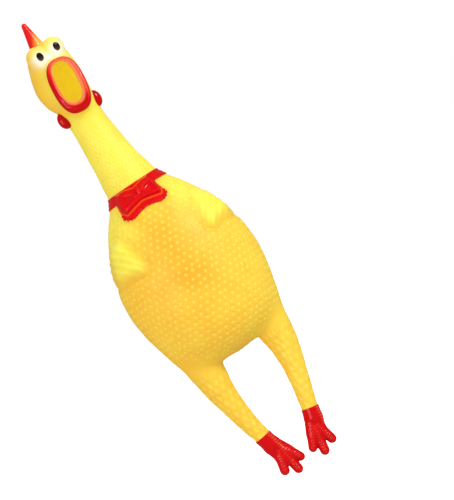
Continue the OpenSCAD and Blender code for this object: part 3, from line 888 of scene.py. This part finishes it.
def red_piece(name, form, low, high, swell=0.45, fade=None):
    """Piece of the bow or collar, which stands for the CAD node of its own name, with one even share of
    painted light between its paint's shaded and lit colours.
    """
    surface = mesh_form(form, low, high, DETAIL_STEP)
    surface.paint(swell=swell, fade=fade(*surface.points.T) if fade else 0)
    single(name, surface, BOW_RED, "torso", name)


def build_collar():
    def form(x, y, z):
        skin = body_form(x, y, z)
        turn = np.arctan2(y, x)
        half_height = (COLLAR_HIGH - COLLAR_LOW) / 2
        band = np.abs(z - (COLLAR_HIGH + COLLAR_LOW) / 2) - half_height
        rib = RIB_HEIGHT * np.cos(np.clip((z - COLLAR_LOW) / (2 * half_height), 0, 1) * 4 * math.pi)
        notch = NOTCH_DEPTH * np.cos(turn * COLLAR_NOTCHES)
        notch = notch * smoothstep(COLLAR_LOW + 1.6, COLLAR_LOW + 0.4, z)
        d = smooth_meet(skin - COLLAR_THICK - rib - notch, band + 1.6 * notch, 0.6)
        return np.maximum(d, -skin - 0.8)

    red_piece("collar_band", form, [-23, -23, 57], [24, 22, 66.5])


def build_knot():
    def form(x, y, z):
        u = x - KNOT_X
        body = ellipsoid(u, y, z, KNOT["centre"], KNOT["radii"])
        crease = 0.45 * np.exp(-((u - 0.9 - 0.05 * (z - 56)) / 0.5) ** 2)
        crease = crease + 0.35 * np.exp(-((u + 1.2 - 0.08 * (z - 56)) / 0.5) ** 2)
        return body + crease * (y < -24)

    # the knot takes a little more painted light than the lobes and collar
    red_piece("bow_knot", form, [KNOT_X - 5, -29, 50], [KNOT_X + 5, -18, 65], swell=0.6)


def build_bow_lobes():
    for side, k in (("left", 1), ("right", -1)):
        bead_path = [(k * across + BOW_X, height) for across, height in BOW_HEM[HEM_BEADS]]

        def form(x, y, z):
            u = k * (x - BOW_X)
            skin = body_form(x, y, z)
            outline = polygon(u, z, BOW_LOBE)
            rim = 0.8 * np.exp(-((-outline - 1.3) / 0.8) ** 2)
            puff = LOBE_PUFF * np.clip(-outline / 2.2, 0, 1) ** 0.5 + rim
            spread = np.arctan2(z - 57.0, u + 1.0)
            loop = polygon(u, z, BOW_FOLD)
            fold = 0.7 * np.exp(-(loop / 0.6) ** 2) - 0.9 * smoothstep(-0.3, -2.2, loop)
            fold = fold + 0.5 * np.exp(-((spread - 0.02) / 0.12) ** 2) * smoothstep(9.5, 6, u)
            lobe = np.maximum(smooth_meet(skin - 0.4 - puff - fold, outline - 0.3, 0.8), -0.3 - u)
            hem = np.maximum(polygon(u, z, BOW_HEM) + 0.3, -0.5 - u) - 0.2
            d = smooth_union(lobe, smooth_meet(skin - 1.5, hem, 0.7), 0.5)
            d = smooth_union(d, beads(x, y, z, bead_path), 0.2)
            return np.maximum(d, -skin - 1.0)

        def groove(x, y, z):
            u = k * (x - BOW_X)
            return 0.5 * np.exp(-((polygon(u, z, BOW_LOBE) - 0.7) / 0.45) ** 2) * (z < 56)

        middle = BOW_X + k * 7.8
        red_piece(f"bow_lobe_{side}", form, [middle - 8.5, -31, 45], [middle + 8.5, -12, 65], fade=groove)


# ---------------------------------------------------------------- feet and squeaker

SCUTE_ROW = {"left": (18.9, 0.143), "right": (-14.0, -0.2)}    # place across at the ankle, lean of the row
SCUTE_GAP = 1.7
TOE_SCUTE_LIFT, SHIN_SCUTE_LIFT = 0.5, 0.6
PALM_FLAT = 0.62    # depth of the palm over its width
TOES = [  # root and tip of each toe as distance from the middle plane and height, root and tip radius
    ((13.8, -114), (17.0, -126.9), 3.2, 2.9),
    ((12.0, -114), (9.6, -130.4), 3.2, 2.9),
    ((11.0, -113), (4.6, -125.2), 3.2, 2.75),
]
FOOT_X = 16
CUFF = {"left": (-104.4, -0.22), "right": (-102.3, 0.14)}    # height and slope of the paint's edge at FOOT_X


def toe_scutes(u, y, z, root, tip):
    """Height share of the cross ridges along the top of a toe."""
    length = math.dist(root, tip)
    across, down = (tip[0] - root[0]) / length, (tip[1] - root[1]) / length
    along = (u - root[0]) * across + (z - root[1]) * down
    aside = across * (z - root[1]) - down * (u - root[0])
    ridges = np.abs(np.sin(np.clip(along, 0, length) * math.pi / SCUTE_GAP))
    return ridges * np.exp(-(aside / 1.2) ** 2) * smoothstep(0, -1.5, y)


def shin_scutes(x, y, z, side):
    """Height share of the row of cross ridges that runs down the front of the ankle."""
    at, slope = SCUTE_ROW[side]
    aside = x - at - slope * (z + 104)
    ridges = np.abs(np.sin(z * math.pi / SCUTE_GAP))
    return ridges * np.exp(-(aside / 1.4) ** 2) * smoothstep(0, -2, y) * smoothstep(-120, -115, z)


def build_feet():
    for side, k, low_x, high_x in (("left", 1, -0.5, 24), ("right", -1, -25, 0.2)):
        def form(x, y, z):
            u = k * (x + LEG_LEAN)
            d = cone(u, y, z, (17.4, 0, -100), (15.0, 0, -110), 5.7, 5.2)
            palm = cone(u, y, z, (14.6, 0, -111), (11.6, 0, -119), 5.4, 6.6, PALM_FLAT)
            d = smooth_union(d, palm, 2.5)
            for (x0, z0), (x1, z1), r0, r1 in TOES:
                toe = cone(u, y, z, (x0, 0, z0), (x1, 0, z1), r0, r1)
                scutes = TOE_SCUTE_LIFT * toe_scutes(u, y, z, (x0, z0), (x1, z1))
                d = smooth_union(d, toe - scutes, 0.9)
            level, slope = CUFF[side]
            scutes = SHIN_SCUTE_LIFT * shin_scutes(x, y, z, side)
            return np.maximum(d - scutes, z - level - slope * (x - k * FOOT_X))

        surface = mesh_form(form, [low_x, -8, -136], [high_x, 8, -101], DETAIL_STEP)
        x, y, z = surface.points.T
        ridges = shin_scutes(x, y, z, side)
        for root, tip, _, _ in TOES:
            ridges = np.maximum(ridges, 0.55 * toe_scutes(k * (x + LEG_LEAN), y, z, root, tip))
        # painted highlight: pinkish glints on the crests of the scutes
        surface.paint(swell=0.5, fade=0.5 * np.clip(ridges, 0, 1) ** 2)
        obj = whole_object(f"foot_{side}", surface, FOOT_RED)
        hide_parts(f"foot_{side}")
        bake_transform(obj)


def dress_squeaker():
    """Gives the squeaker's CAD nodes, whose shapes stay, their plastics."""
    housing = plain_plastic("squeaker_plastic", (0.8, 0.8, 0.76), 0.5)
    film = plain_plastic("reed_film", (0.55, 0.62, 0.68), 0.3)
    for node in ("squeaker_housing", "squeaker_cap", "reed_seat", "reed_clamp", "reed_tongue"):
        for slot in frame["nodes"][node].material_slots:
            slot.material = film if node == "reed_tongue" else housing


# ---------------------------------------------------------------- stage, light and camera

VIEW_AZIMUTH = math.radians(-7)     # the camera stands a little to the chicken's right
VIEW_ELEVATION = math.radians(1)
VIEW_ROLL = math.radians(33.85)     # the chicken leans this far to the left in the picture
VIEW_SPAN = 297.0                   # height of the picture at the object
VIEW_DISTANCE = 1500.0
VIEW_OFFSET = (26.2, 1.0)           # picture centre, across and above the torso's middle
SENSOR = 36.0
FLOOR_HALF = 6.0                    # half the floor's side, in metres
FLOOR_DROP = 0.02                   # the floor lies this far under the chicken, in metres
AMBIENT = 0.74                      # strength of the light from all round
REFLECTED = 0.15                    # strength of the surroundings in gloss
LIGHTS = [                          # place and size in metres, power in watts
    ("key", (0.8, -0.8, 0.5), 0.3, 7),
    ("fill", (-0.8, -0.9, 0.1), 0.7, 5),
    ("rim", (0.1, 0.9, 0.8), 0.8, 4),
]


def aim_camera():
    sin_a, cos_a = math.sin(VIEW_AZIMUTH), math.cos(VIEW_AZIMUTH)
    sin_e, cos_e = math.sin(VIEW_ELEVATION), math.cos(VIEW_ELEVATION)
    back = Vector((sin_a * cos_e, -cos_a * cos_e, sin_e))
    turn = (-back).to_track_quat("-Z", "Y").to_matrix()
    right, up = turn @ Vector((1, 0, 0)), turn @ Vector((0, 1, 0))
    target = right * VIEW_OFFSET[0] + up * VIEW_OFFSET[1]
    camera = bpy.data.objects.new("camera", bpy.data.cameras.new("camera"))
    bpy.context.scene.collection.objects.link(camera)
    camera.data.sensor_width = SENSOR
    camera.data.lens = SENSOR * VIEW_DISTANCE / VIEW_SPAN
    camera.data.clip_end = 20
    place = Matrix.Translation((target + back * VIEW_DISTANCE) * MM)
    camera.matrix_world = place @ turn.to_4x4() @ Matrix.Rotation(-VIEW_ROLL, 4, "Z")
    bpy.context.scene.camera = camera


def build_floor():
    material, _, _, shader = new_material("pale_floor")
    set_values(shader, Base_Color=(0.6, 0.6, 0.6, 1), Roughness=0.9,
               Emission_Color=(1, 1, 1, 1), Emission_Strength=0.9)
    half, height = FLOOR_HALF, cad_low[2] - FLOOR_DROP
    corners = [(-half, -half, height), (half, -half, height), (half, half, height), (-half, half, height)]
    mesh = bpy.data.meshes.new("floor")
    mesh.from_pydata(corners, [], [(0, 1, 2, 3)])
    mesh.materials.append(material)
    floor = bpy.data.objects.new("floor", mesh)
    bpy.context.scene.collection.objects.link(floor)
    floor.visible_diffuse = floor.visible_glossy = floor.visible_transmission = False


def build_world():
    """White to the camera, AMBIENT as light and REFLECTED in gloss."""
    world = bpy.data.worlds.new("studio")
    bpy.context.scene.world = world
    world.use_nodes = True
    nodes, links = world.node_tree.nodes, world.node_tree.links
    path = nodes.new("ShaderNodeLightPath")
    ambient = nodes["Background"]
    set_values(ambient, Color=(1, 1, 1, 1), Strength=AMBIENT)
    dim = add(nodes, "ShaderNodeBackground", Color=(1, 1, 1, 1), Strength=REFLECTED)
    seen = add(nodes, "ShaderNodeBackground", Color=(1, 1, 1, 1), Strength=1.0)

    def chosen(ray, otherwise, shader):
        mix = nodes.new("ShaderNodeMixShader")
        links.new(path.outputs[ray], mix.inputs[0])
        links.new(otherwise, mix.inputs[1])
        links.new(shader, mix.inputs[2])
        return mix.outputs[0]

    around = chosen("Is Glossy Ray", ambient.outputs[0], dim.outputs[0])
    surface = chosen("Is Camera Ray", around, seen.outputs[0])
    links.new(surface, nodes["World Output"].inputs["Surface"])


def area_light(name, where, size, power):
    """Square light that faces the middle of the torso."""
    light = bpy.data.lights.new(name, "AREA")
    light.size, light.energy = size, power
    obj = bpy.data.objects.new(name, light)
    obj.location = where
    obj.rotation_euler = (-Vector(where)).to_track_quat("-Z", "Y").to_euler()
    bpy.context.scene.collection.objects.link(obj)


aim_camera()
build_floor()
build_world()
for settings in LIGHTS:
    area_light(*settings)
build_skin_pieces()
build_lips()
build_comb()
build_pupils()
build_wattles()
build_collar()
build_knot()
build_bow_lobes()
build_feet()
dress_squeaker()
bpy.context.scene.view_settings.view_transform = "Standard"
